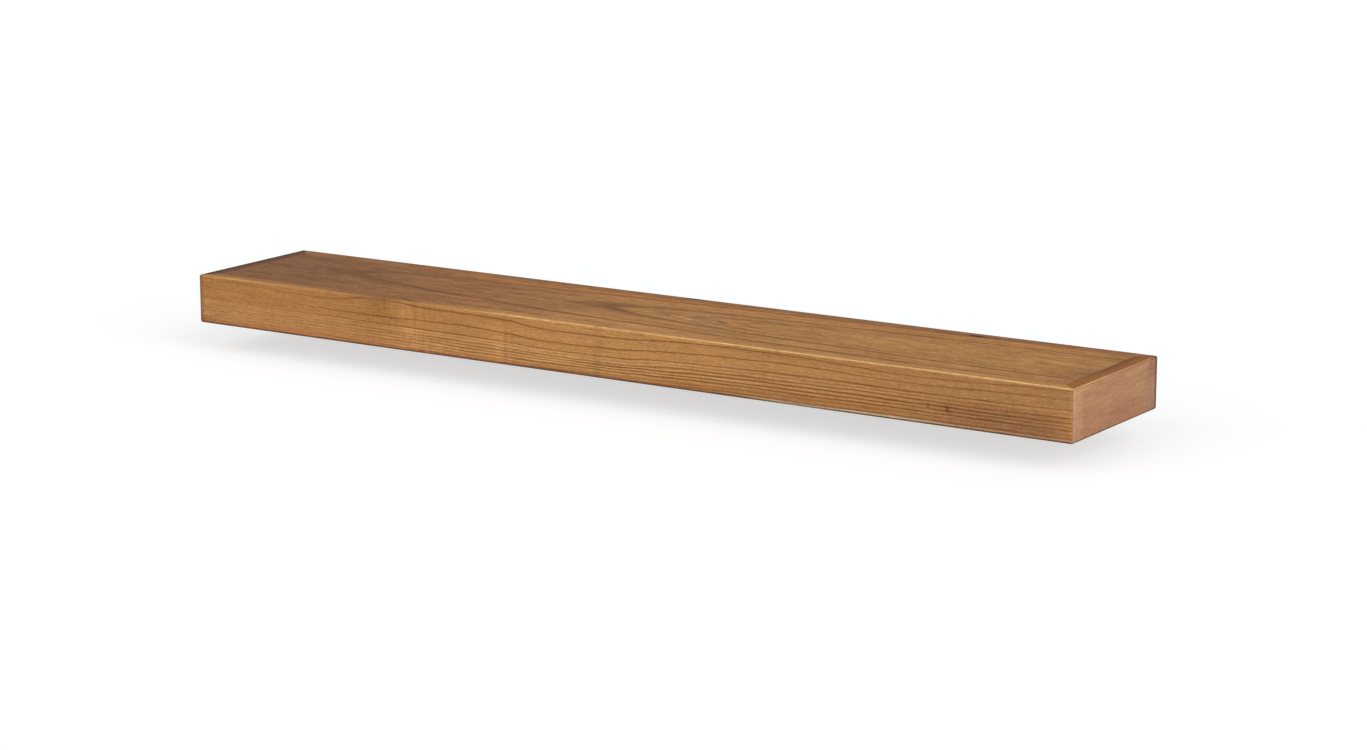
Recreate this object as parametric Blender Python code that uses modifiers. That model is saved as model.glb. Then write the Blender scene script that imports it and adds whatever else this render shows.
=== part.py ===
"""A floating wall shelf: a hollow wooden sleeve that slides onto the rods of a hidden wall bracket.

Metres, +Z up, +X along the shelf, and the front towards -Y. The origin is the middle of the
wall bracket's back face, so the wall is the plane Y = 0 and the shelf's middle height is Z = 0.
"""

import math

import bmesh
import bpy
from mathutils import Vector

# Overall size of the wooden sleeve
LENGTH = 1.524
DEPTH = 0.260
HEIGHT = 0.076
CORNER_RADIUS = 0.005
TOP_EDGE_RADIUS = 0.003
BOTTOM_EDGE_RADIUS = 0.004
EDGE_SEGMENTS = 4

# Clearances: between pieces that touch, and how far a cutter runs past what it cuts
SEAT_GAP = 0.0003
OVERRUN = 0.010

# The four mitred boards that show as a frame round the top panel
BOARD_THICKNESS = 0.025

# Top and bottom panels, held by a tongue in the boards' grooves
TOP_PANEL_THICKNESS = 0.015
BOTTOM_PANEL_THICKNESS = 0.012
TONGUE_THICKNESS = 0.006
TONGUE_LENGTH = 0.008

# Loose keys glued across the mitres, clear of the panels' grooves
KEY_THICKNESS = 0.003
KEY_WIDTH = 0.016
KEY_MARGIN = 0.004

# Core of the sleeve: a long rail behind a bay of this depth, and ribs across it
FRONT_BAY = 0.065
RAIL_THICKNESS = 0.020
RIB_THICKNESS = 0.015
CORNER_BLOCK_LEG = 0.030
CORNER_BLOCK_NOSE = 0.006

# Wall bracket: a flat steel plate with welded rods, and screw holes between and beyond them. The
# room past the outermost holes puts every second hole 406.4 mm apart, the spacing of wall studs.
ROD_COUNT = 6
SCREW_END_ROOM = 0.1274
PLATE_THICKNESS = 0.005
PLATE_HEIGHT = 0.044
PLATE_CORNER_RADIUS = 0.004
PLATE_END_MARGIN = 0.030
POCKET_CLEARANCE = 0.0015
ROD_RADIUS = 0.008
ROD_TIP_OVERHANG = 0.015
ROD_TIP_CHAMFER = 0.002
ROD_CLEARANCE = 0.0005
WELD_LEG = 0.003
WELD_CLEARANCE = 0.001
SCREW_HOLE_RADIUS = 0.0033
SCREW_HEAD_RADIUS = 0.0062

# Lock screws, which turn up through the bottom panel against two of the rods
LOCK_SETBACK = 0.060
LOCK_SCREW_RADIUS = 0.003
LOCK_SCREW_RECESS = 0.004
LOCK_SCREW_CHAMFER = 0.0008
HEX_SOCKET_RADIUS = 0.0017
HEX_SOCKET_DEPTH = 0.004
INSERT_RADIUS = 0.005
INSERT_LENGTH = 0.018
FLANGE_RADIUS = 0.007
FLANGE_THICKNESS = 0.0015
LOCK_BLOCK_WIDTH = 0.036
LOCK_BLOCK_DEPTH = 0.040
LOCK_BLOCK_CLEARANCE = 0.0025

# Facets, and the distance at which doubled points merge
ROUND_STEPS = 32
CORNER_STEPS = 6
MERGE_DISTANCE = 0.00003

# Places that follow from the sizes above
TOP = HEIGHT / 2
CAVITY_TOP = TOP - TOP_PANEL_THICKNESS
CAVITY_BOTTOM = -TOP + BOTTOM_PANEL_THICKNESS
INSIDE_X = LENGTH / 2 - BOARD_THICKNESS
INSIDE_BACK = -BOARD_THICKNESS
INSIDE_FRONT = -DEPTH + BOARD_THICKNESS
RAIL_FRONT = INSIDE_FRONT + FRONT_BAY
RAIL_BACK = RAIL_FRONT + RAIL_THICKNESS
MITRE_SHIFT = SEAT_GAP / math.sqrt(2)

# Rods at an even pitch along the plate, with ribs between and beyond them
ROD_PITCH = 2 * (INSIDE_X - SCREW_END_ROOM) / ROD_COUNT
ROD_REACH = -RAIL_FRONT + ROD_TIP_OVERHANG
ROD_PLACES = [(number - (ROD_COUNT - 1) / 2) * ROD_PITCH for number in range(ROD_COUNT)]
RIB_PLACES = [(number - ROD_COUNT / 2) * ROD_PITCH for number in range(ROD_COUNT + 1)]
SCREW_PLACES = [place for place in RIB_PLACES if abs(place) > ROD_PITCH / 2]
LOCK_PLACES = {"left": ROD_PLACES[1], "right": ROD_PLACES[-2]}
PLATE_HALF_LENGTH = SCREW_PLACES[-1] + PLATE_END_MARGIN
POCKET_DEPTH = PLATE_THICKNESS + SEAT_GAP + WELD_LEG + WELD_CLEARANCE

# The frame's boards, and its corners with their signs along X and Y
BOARD_NAMES = {
    "front": "front_board",
    "back": "back_board",
    "left": "left_end_board",
    "right": "right_end_board",
}
CORNERS = {
    "front_left": (-1, -1),
    "front_right": (1, -1),
    "back_left": (-1, 1),
    "back_right": (1, 1),
}


def clear_scene():
    for thing in list(bpy.data.objects):
        bpy.data.objects.remove(thing)


def new_collection(name):
    made = bpy.data.collections.new(name)
    bpy.context.scene.collection.children.link(made)
    return made


def new_material(name, colour, roughness, metallic=0.0):
    made = bpy.data.materials.new(name)
    made.use_nodes = True
    shader = made.node_tree.nodes["Principled BSDF"]
    shader.inputs["Base Color"].default_value = (*colour, 1.0)
    shader.inputs["Roughness"].default_value = roughness
    shader.inputs["Metallic"].default_value = metallic
    return made


def new_empty(name, collection):
    made = bpy.data.objects.new(name, None)
    collection.objects.link(made)
    return made


def finish_piece(piece, parent, material):
    """Gives a piece its parent and its one material."""
    piece.parent = parent
    piece.data.materials.clear()
    piece.data.materials.append(material)
    return piece


def box(name, low, high, collection):
    """A box between two corners, with its origin at its centre."""
    low, high = Vector(low), Vector(high)
    shape = bmesh.new()
    bmesh.ops.create_cube(shape, size=1.0)
    bmesh.ops.scale(shape, vec=high - low, verts=shape.verts)
    mesh = bpy.data.meshes.new(name)
    shape.to_mesh(mesh)
    shape.free()
    piece = bpy.data.objects.new(name, mesh)
    piece.location = (low + high) / 2
    collection.objects.link(piece)
    return piece


def cylinder(name, radius, length, collection, steps=ROUND_STEPS):
    """A cylinder along Z, standing on its origin."""
    shape = bmesh.new()
    bmesh.ops.create_cone(
        shape, cap_ends=True, segments=steps, radius1=radius, radius2=radius, depth=length
    )
    bmesh.ops.translate(shape, vec=(0, 0, length / 2), verts=shape.verts)
    mesh = bpy.data.meshes.new(name)
    shape.to_mesh(mesh)
    shape.free()
    piece = bpy.data.objects.new(name, mesh)
    collection.objects.link(piece)
    return piece


def turned(name, profile, closed, collection):
    """A profile of (radius, height) points, listed down its outer side and turned about Z.

    A profile that starts and ends on the axis stays open, and one that clears it is closed.
    """
    edges = [(number, number + 1) for number in range(len(profile) - 1)]
    if closed:
        edges.append((len(profile) - 1, 0))
    mesh = bpy.data.meshes.new(name)
    mesh.from_pydata([(radius, 0, height) for radius, height in profile], edges, [])
    piece = bpy.data.objects.new(name, mesh)
    collection.objects.link(piece)
    screw = piece.modifiers.new("turn", "SCREW")
    screw.axis = "Z"
    screw.steps = ROUND_STEPS
    screw.render_steps = ROUND_STEPS
    screw.use_merge_vertices = True
    screw.merge_threshold = MERGE_DISTANCE
    return piece


def flat_solid(name, outlines, thickness, collection):
    """A plate from flat outlines, where an outline inside another is a hole, made into a mesh."""
    curve = bpy.data.curves.new(name, "CURVE")
    curve.dimensions = "2D"
    curve.fill_mode = "BOTH"
    curve.extrude = thickness / 2
    for outline in outlines:
        spline = curve.splines.new("POLY")
        spline.points.add(len(outline) - 1)
        for point, (x, y) in zip(spline.points, outline):
            point.co = (x, y, 0, 1)
        spline.use_cyclic_u = True
    drawn = bpy.data.objects.new(name + "_outline", curve)
    collection.objects.link(drawn)
    bpy.context.view_layer.update()
    evaluated = drawn.evaluated_get(bpy.context.evaluated_depsgraph_get())
    mesh = bpy.data.meshes.new_from_object(evaluated)
    shape = bmesh.new()
    shape.from_mesh(mesh)
    bmesh.ops.remove_doubles(shape, verts=shape.verts, dist=MERGE_DISTANCE)
    bmesh.ops.recalc_face_normals(shape, faces=shape.faces)
    shape.to_mesh(mesh)
    shape.free()
    piece = bpy.data.objects.new(name, mesh)
    piece.matrix_world = drawn.matrix_world
    collection.objects.link(piece)
    bpy.data.objects.remove(drawn)
    return piece


def rectangle(half_x, low_y, high_y):
    return [(-half_x, low_y), (half_x, low_y), (half_x, high_y), (-half_x, high_y)]


def arc(centre_x, centre_y, radius, start, end, steps):
    """Points along an arc, with its angles in degrees."""
    turn = math.radians(end - start) / steps
    angles = [math.radians(start) + turn * step for step in range(steps + 1)]
    return [(centre_x + radius * math.cos(a), centre_y + radius * math.sin(a)) for a in angles]


def rounded_rectangle(half_x, half_y, radius):
    x, y = half_x - radius, half_y - radius
    return (
        arc(x, -y, radius, -90, 0, CORNER_STEPS)
        + arc(x, y, radius, 0, 90, CORNER_STEPS)
        + arc(-x, y, radius, 90, 180, CORNER_STEPS)
        + arc(-x, -y, radius, 180, 270, CORNER_STEPS)
    )


def circle_outline(centre_x, radius):
    return arc(centre_x, 0, radius, 0, 360, ROUND_STEPS)[:-1]


def as_cutter(piece):
    piece.hide_render = True
    piece.display_type = "WIRE"
    return piece


def combine(piece, operation, tool):
    """Adds a Boolean modifier that takes an object or a collection of objects."""
    modifier = piece.modifiers.new(operation.lower() + "_" + tool.name, "BOOLEAN")
    modifier.operation = operation
    modifier.solver = "EXACT"
    if isinstance(tool, bpy.types.Collection):
        modifier.operand_type = "COLLECTION"
        modifier.collection = tool
    else:
        modifier.object = tool
    return modifier


def sector_outline(side):
    """The plan of one board's share of the frame, bounded by the 45 degree mitres."""
    half, back, front = LENGTH / 2, 0, -DEPTH
    out, reach = OVERRUN, BOARD_THICKNESS + OVERRUN / 2
    shift = MITRE_SHIFT
    if side in ("front", "back"):
        edge, inward = (front, 1) if side == "front" else (back, -1)
        return [
            (-half - out + shift, edge - inward * out),
            (half + out - shift, edge - inward * out),
            (half - reach - shift, edge + inward * reach),
            (-half + reach + shift, edge + inward * reach),
        ]
    edge, inward = (-half, 1) if side == "left" else (half, -1)
    return [
        (edge - inward * out, front - out + shift),
        (edge + inward * reach, front + reach + shift),
        (edge + inward * reach, back - reach - shift),
        (edge - inward * out, back + out - shift),
    ]


def key_box(name, side_x, side_y, gap, collection):
    """A mitre key, or the room for one, at the corner named by the two signs."""
    centre = Vector(
        (
            side_x * (LENGTH / 2 - BOARD_THICKNESS / 2),
            -DEPTH / 2 + side_y * (DEPTH / 2 - BOARD_THICKNESS / 2),
            (CAVITY_TOP + CAVITY_BOTTOM) / 2,
        )
    )
    half_height = (CAVITY_TOP - CAVITY_BOTTOM) / 2 - KEY_MARGIN
    half = Vector((KEY_WIDTH / 2 + gap, KEY_THICKNESS / 2 + gap, half_height + gap))
    key = box(name, centre - half, centre + half, collection)
    key.rotation_euler.z = math.radians(-45 * side_x * side_y)
    return key


def panel(name, low, high, rebate_low, rebate_high, collection, cutters):
    """A panel between two heights, whose edge is cut back between two more to leave a tongue."""
    half_x = INSIDE_X - SEAT_GAP
    front, back = INSIDE_FRONT + SEAT_GAP, INSIDE_BACK - SEAT_GAP
    made = box(
        name,
        (-half_x - TONGUE_LENGTH, front - TONGUE_LENGTH, low),
        (half_x + TONGUE_LENGTH, back + TONGUE_LENGTH, high),
        collection,
    )
    past = TONGUE_LENGTH + OVERRUN
    outlines = [
        rectangle(half_x + past, front - past, back + past),
        rectangle(half_x, front, back),
    ]
    rebate = flat_solid(name + "_rebate", outlines, rebate_high - rebate_low, cutters)
    rebate.location.z = (rebate_low + rebate_high) / 2
    combine(made, "DIFFERENCE", as_cutter(rebate))
    return made


def groove(name, tongue_low, cutters):
    """The groove round the inside of the boards for a tongue that starts at this height."""
    deep = TONGUE_LENGTH + SEAT_GAP
    low, high = tongue_low - SEAT_GAP, tongue_low + TONGUE_THICKNESS + SEAT_GAP
    return as_cutter(
        box(
            name,
            (-INSIDE_X - deep, INSIDE_FRONT - deep, low),
            (INSIDE_X + deep, INSIDE_BACK + deep, high),
            cutters,
        )
    )


def ease_edges(board):
    """Rounds the upright corners, the top edges and the bottom edges, each to its own radius."""
    mesh = board.data
    widest = max(CORNER_RADIUS, TOP_EDGE_RADIUS, BOTTOM_EDGE_RADIUS)
    weights = mesh.attributes.new("bevel_weight_edge", "FLOAT", "EDGE")
    for edge, weight in zip(mesh.edges, weights.data):
        first, second = (mesh.vertices[number].co.z for number in edge.vertices)
        if first * second < 0:
            radius = CORNER_RADIUS
        else:
            radius = TOP_EDGE_RADIUS if first > 0 else BOTTOM_EDGE_RADIUS
        weight.value = radius / widest
    easing = board.modifiers.new("eased_edges", "BEVEL")
    easing.limit_method = "WEIGHT"
    easing.width = widest
    easing.segments = EDGE_SEGMENTS


def frame_boards(collection, cutters):
    """The front, back and end boards: one eased box, hollowed and split along its mitres."""
    hollow = as_cutter(
        box(
            "hollow",
            (-INSIDE_X, INSIDE_FRONT, -TOP - OVERRUN),
            (INSIDE_X, INSIDE_BACK, TOP + OVERRUN),
            cutters,
        )
    )
    top_groove = groove("top_groove", CAVITY_TOP, cutters)
    bottom_groove = groove("bottom_groove", CAVITY_BOTTOM - TONGUE_THICKNESS, cutters)
    key_rooms = {}
    for corner, (side_x, side_y) in CORNERS.items():
        room = key_box("key_room_" + corner, side_x, side_y, SEAT_GAP, cutters)
        key_rooms[corner] = as_cutter(room)

    boards = {}
    for side, name in BOARD_NAMES.items():
        board = box(name, (-LENGTH / 2, -DEPTH, -TOP), (LENGTH / 2, 0, TOP), collection)
        ease_edges(board)
        height = HEIGHT + 2 * OVERRUN
        sector = flat_solid(side + "_sector", [sector_outline(side)], height, cutters)
        combine(board, "INTERSECT", as_cutter(sector))
        combine(board, "DIFFERENCE", hollow)
        combine(board, "DIFFERENCE", top_groove)
        combine(board, "DIFFERENCE", bottom_groove)
        for corner, room in key_rooms.items():
            if side in corner:
                combine(board, "DIFFERENCE", room)
        boards[side] = board
    return boards


def rod_bores(cutters):
    """Holes for the rods through the back board and the inner rail."""
    bores = bpy.data.collections.new("rod_bores")
    cutters.children.link(bores)
    length = -RAIL_FRONT + 2 * OVERRUN
    for number, place in enumerate(ROD_PLACES, 1):
        bore = cylinder(f"rod_bore_{number}", ROD_RADIUS + ROD_CLEARANCE, length, bores)
        bore.rotation_euler.x = math.radians(90)
        bore.location = (place, OVERRUN, 0)
        as_cutter(bore)
    return bores


def plate_pocket(cutters):
    """The pocket in the back board's rear face that hides the wall plate and its welds."""
    half_x = PLATE_HALF_LENGTH + POCKET_CLEARANCE
    half_z = PLATE_HEIGHT / 2 + POCKET_CLEARANCE
    return as_cutter(
        box("plate_pocket", (-half_x, -POCKET_DEPTH, -half_z), (half_x, OVERRUN, half_z), cutters)
    )


def core_block(name, centre_x, width, back, front, collection):
    """A core piece between two depths, as high as the hollow less its gaps."""
    return box(
        name,
        (centre_x - width / 2, front, CAVITY_BOTTOM + SEAT_GAP),
        (centre_x + width / 2, back, CAVITY_TOP - SEAT_GAP),
        collection,
    )


def corner_block(name, side_x, side_y, collection):
    """A three-sided glue block with blunt tips, set in one inside corner."""
    leg, nose = CORNER_BLOCK_LEG, CORNER_BLOCK_NOSE
    outline = [(0, 0), (leg, 0), (leg, nose), (nose, leg), (0, leg)]
    turned_in = [(-side_x * x, -side_y * y) for x, y in outline]
    height = CAVITY_TOP - CAVITY_BOTTOM - 2 * SEAT_GAP
    block = flat_solid(name, [turned_in], height, collection)
    corner_y = INSIDE_BACK - SEAT_GAP if side_y > 0 else INSIDE_FRONT + SEAT_GAP
    block.location = (
        side_x * (INSIDE_X - SEAT_GAP),
        corner_y,
        (CAVITY_TOP + CAVITY_BOTTOM) / 2,
    )
    return block


def screw_holes(cutters):
    """Countersunk holes for the wall screws, with a 90 degree cone that runs on past the face."""
    holes = bpy.data.collections.new("screw_holes")
    cutters.children.link(holes)
    cone_foot = PLATE_THICKNESS - (SCREW_HEAD_RADIUS - SCREW_HOLE_RADIUS)
    past = PLATE_THICKNESS + OVERRUN
    profile = [
        (0, past),
        (SCREW_HEAD_RADIUS + OVERRUN, past),
        (SCREW_HOLE_RADIUS, cone_foot),
        (SCREW_HOLE_RADIUS, -OVERRUN),
        (0, -OVERRUN),
    ]
    for number, place in enumerate(SCREW_PLACES, 1):
        hole = turned(f"screw_hole_{number}", profile, False, holes)
        hole.rotation_euler.x = math.radians(90)
        hole.location.x = place
        as_cutter(hole)
    return holes


def wall_plate(collection, cutters):
    """The bracket's flat plate, with a hole for each rod and one for each wall screw."""
    outlines = [rounded_rectangle(PLATE_HALF_LENGTH, PLATE_HEIGHT / 2, PLATE_CORNER_RADIUS)]
    outlines += [circle_outline(place, ROD_RADIUS + SEAT_GAP) for place in ROD_PLACES]
    plate = flat_solid("wall_plate", outlines, PLATE_THICKNESS, collection)
    plate.rotation_euler.x = math.radians(90)
    plate.location.y = -PLATE_THICKNESS / 2
    combine(plate, "DIFFERENCE", screw_holes(cutters))
    return plate


def support_rod(name, place, collection):
    """A rod through the plate, with its weld bead against the plate's front face."""
    weld_foot = PLATE_THICKNESS + SEAT_GAP
    profile = [
        (0, ROD_REACH),
        (ROD_RADIUS - ROD_TIP_CHAMFER, ROD_REACH),
        (ROD_RADIUS, ROD_REACH - ROD_TIP_CHAMFER),
        (ROD_RADIUS, weld_foot + WELD_LEG),
        (ROD_RADIUS + WELD_LEG, weld_foot),
        (ROD_RADIUS, weld_foot),
        (ROD_RADIUS, SEAT_GAP),
        (0, SEAT_GAP),
    ]
    rod = turned(name, profile, False, collection)
    rod.rotation_euler.x = math.radians(90)
    rod.location.x = place
    return rod


def threaded_insert(name, place, collection):
    """A flanged brass insert in the bottom panel, with its flange at the underside."""
    bore = LOCK_SCREW_RADIUS + SEAT_GAP
    profile = [
        (bore, INSERT_LENGTH),
        (INSERT_RADIUS, INSERT_LENGTH),
        (INSERT_RADIUS, FLANGE_THICKNESS),
        (FLANGE_RADIUS, FLANGE_THICKNESS),
        (FLANGE_RADIUS, 0),
        (bore, 0),
    ]
    insert = turned(name, profile, True, collection)
    insert.location = (place, -LOCK_SETBACK, -TOP + SEAT_GAP)
    return insert


def insert_room(name, place, cutters):
    """The stepped hole for an insert through the bottom panel and its lock block."""
    barrel = INSERT_RADIUS + SEAT_GAP
    flange = FLANGE_RADIUS + SEAT_GAP
    step = FLANGE_THICKNESS + 2 * SEAT_GAP
    high, low = TOP + OVERRUN, -OVERRUN
    profile = [(0, high), (barrel, high), (barrel, step), (flange, step), (flange, low), (0, low)]
    room = turned(name, profile, False, cutters)
    room.location = (place, -LOCK_SETBACK, -TOP)
    return as_cutter(room)


def lock_block(name, place, collection):
    """A hardwood block under a rod, which thickens the bottom panel round the insert."""
    half_x, half_y = LOCK_BLOCK_WIDTH / 2, LOCK_BLOCK_DEPTH / 2
    low, high = CAVITY_BOTTOM + SEAT_GAP, -ROD_RADIUS - LOCK_BLOCK_CLEARANCE
    return box(
        name,
        (place - half_x, -LOCK_SETBACK - half_y, low),
        (place + half_x, -LOCK_SETBACK + half_y, high),
        collection,
    )


def lock_screw(name, place, collection, cutters):
    """A headless screw with a hexagon socket below and a flat point just under its rod."""
    low = -TOP + LOCK_SCREW_RECESS
    length = -ROD_RADIUS - SEAT_GAP - low
    edge = LOCK_SCREW_CHAMFER
    profile = [
        (0, length),
        (LOCK_SCREW_RADIUS - edge, length),
        (LOCK_SCREW_RADIUS, length - edge),
        (LOCK_SCREW_RADIUS, edge),
        (LOCK_SCREW_RADIUS - edge, 0),
        (0, 0),
    ]
    screw = turned(name, profile, False, collection)
    screw.location = (place, -LOCK_SETBACK, low)
    socket = cylinder(
        name + "_socket", HEX_SOCKET_RADIUS, HEX_SOCKET_DEPTH + OVERRUN, cutters, steps=6
    )
    socket.location = (place, -LOCK_SETBACK, low - OVERRUN)
    combine(screw, "DIFFERENCE", as_cutter(socket))
    return screw


def build():
    clear_scene()
    parts = new_collection("floating_shelf")
    cutters = new_collection("cutters")
    bracket = new_empty("wall_bracket", parts)
    sleeve = new_empty("shelf_sleeve", parts)

    front_wood = new_material("front_wood", (0.46, 0.24, 0.08), 0.42)
    end_wood = new_material("end_wood", (0.42, 0.21, 0.11), 0.45)
    back_wood = new_material("back_wood", (0.36, 0.16, 0.06), 0.45)
    top_wood = new_material("top_wood", (0.34, 0.17, 0.08), 0.48)
    core_wood = new_material("core_wood", (0.62, 0.45, 0.27), 0.70)
    hard_wood = new_material("hard_wood", (0.50, 0.32, 0.17), 0.60)
    steel = new_material("black_steel", (0.03, 0.03, 0.032), 0.45, 0.8)
    zinc = new_material("zinc_steel", (0.55, 0.55, 0.56), 0.35, 1.0)
    brass = new_material("brass", (0.72, 0.52, 0.22), 0.30, 1.0)

    boards = frame_boards(parts, cutters)
    bores = rod_bores(cutters)
    combine(boards["back"], "DIFFERENCE", plate_pocket(cutters))
    combine(boards["back"], "DIFFERENCE", bores)
    woods = {"front": front_wood, "back": back_wood, "left": end_wood, "right": end_wood}
    for side, board in boards.items():
        finish_piece(board, sleeve, woods[side])

    rebate = (CAVITY_TOP + TONGUE_THICKNESS, TOP + OVERRUN)
    top_panel = panel("top_panel", CAVITY_TOP, TOP, *rebate, parts, cutters)
    finish_piece(top_panel, sleeve, top_wood)
    rebate = (-TOP - OVERRUN, CAVITY_BOTTOM - TONGUE_THICKNESS)
    bottom_panel = panel("bottom_panel", -TOP, CAVITY_BOTTOM, *rebate, parts, cutters)
    finish_piece(bottom_panel, sleeve, top_wood)

    for corner, (side_x, side_y) in CORNERS.items():
        key = key_box("mitre_key_" + corner, side_x, side_y, 0, parts)
        finish_piece(key, sleeve, hard_wood)
        block = corner_block("corner_block_" + corner, side_x, side_y, parts)
        finish_piece(block, sleeve, core_wood)

    rail_length = 2 * (INSIDE_X - SEAT_GAP)
    rail = core_block("inner_rail", 0, rail_length, RAIL_BACK, RAIL_FRONT, parts)
    combine(rail, "DIFFERENCE", bores)
    finish_piece(rail, sleeve, hard_wood)

    for number, place in enumerate(RIB_PLACES, 1):
        rear = core_block(
            f"rear_rib_{number}",
            place,
            RIB_THICKNESS,
            INSIDE_BACK - SEAT_GAP,
            RAIL_BACK + SEAT_GAP,
            parts,
        )
        finish_piece(rear, sleeve, core_wood)
        fore = core_block(
            f"front_rib_{number}",
            place,
            RIB_THICKNESS,
            RAIL_FRONT - SEAT_GAP,
            INSIDE_FRONT + SEAT_GAP,
            parts,
        )
        finish_piece(fore, sleeve, core_wood)

    finish_piece(wall_plate(parts, cutters), bracket, steel)
    for number, place in enumerate(ROD_PLACES, 1):
        rod = support_rod(f"support_rod_{number}", place, parts)
        finish_piece(rod, bracket, steel)

    for side, place in LOCK_PLACES.items():
        room = insert_room("insert_room_" + side, place, cutters)
        combine(bottom_panel, "DIFFERENCE", room)
        block = lock_block("lock_block_" + side, place, parts)
        combine(block, "DIFFERENCE", room)
        finish_piece(block, sleeve, hard_wood)
        insert = threaded_insert("threaded_insert_" + side, place, parts)
        finish_piece(insert, sleeve, brass)
        screw = lock_screw("lock_screw_" + side, place, parts, cutters)
        finish_piece(screw, sleeve, zinc)


build()
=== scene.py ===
"""The looks of a floating wall shelf: its wood and metal finishes, a pale floor, soft light and the camera.

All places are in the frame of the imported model, in metres: +X to the right end, -Y to the front, +Z up, and
the wall at y = 0. The materials work in millimetres of the same frame.
"""
import math
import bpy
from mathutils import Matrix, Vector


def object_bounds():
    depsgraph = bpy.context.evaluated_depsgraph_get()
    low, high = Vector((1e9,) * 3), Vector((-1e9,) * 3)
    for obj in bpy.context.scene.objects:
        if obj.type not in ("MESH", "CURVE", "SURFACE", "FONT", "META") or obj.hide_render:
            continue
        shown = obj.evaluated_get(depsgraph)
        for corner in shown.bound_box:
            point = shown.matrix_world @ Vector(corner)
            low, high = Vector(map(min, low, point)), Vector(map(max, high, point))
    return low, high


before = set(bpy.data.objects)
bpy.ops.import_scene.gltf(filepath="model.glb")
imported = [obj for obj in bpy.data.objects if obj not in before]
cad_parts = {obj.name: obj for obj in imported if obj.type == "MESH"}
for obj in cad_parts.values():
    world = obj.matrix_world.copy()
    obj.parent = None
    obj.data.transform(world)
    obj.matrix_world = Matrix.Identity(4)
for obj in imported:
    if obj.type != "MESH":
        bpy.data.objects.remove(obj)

from types import SimpleNamespace

import bpy
from mathutils import Matrix, Vector

CAD_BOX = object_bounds()
MM = 1000.0

# The part's box in millimetres, and the radii to which its edges are eased
LOW, HIGH = (corner * MM for corner in CAD_BOX)
CORNER_RADIUS = 5.0
TOP_RADIUS = 3.0
BOTTOM_RADIUS = 4.0

# The noise node gives 0 to 1, and mostly the middle of it. Shifted and times this, it fills -1 to 1.
NOISE_GAIN = 3.2

# The Mix node has sockets for each kind of data. These are the numbers of its factor and its colours.
MIX_FACTOR, MIX_FIRST, MIX_SECOND, MIX_RESULT = 0, 6, 7, 2


def rgb(red, green, blue):
    """A colour as seen on a screen, 0 to 255, turned into the shader's linear numbers."""
    def linear(value):
        value /= 255
        return value / 12.92 if value <= 0.04045 else ((value + 0.055) / 1.055) ** 2.4
    return (linear(red), linear(green), linear(blue), 1.0)


class Wire:
    """A number that flows between a material's nodes, with the usual arithmetic."""

    def __init__(self, graph, socket):
        self.graph = graph
        self.socket = socket

    def __add__(self, other):
        return self.graph.math("ADD", self, other)

    def __radd__(self, other):
        return self.graph.math("ADD", other, self)

    def __sub__(self, other):
        return self.graph.math("SUBTRACT", self, other)

    def __rsub__(self, other):
        return self.graph.math("SUBTRACT", other, self)

    def __mul__(self, other):
        return self.graph.math("MULTIPLY", self, other)

    def __truediv__(self, other):
        return self.graph.math("DIVIDE", self, other)

    def __neg__(self):
        return self.graph.math("MULTIPLY", self, -1.0)


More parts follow.
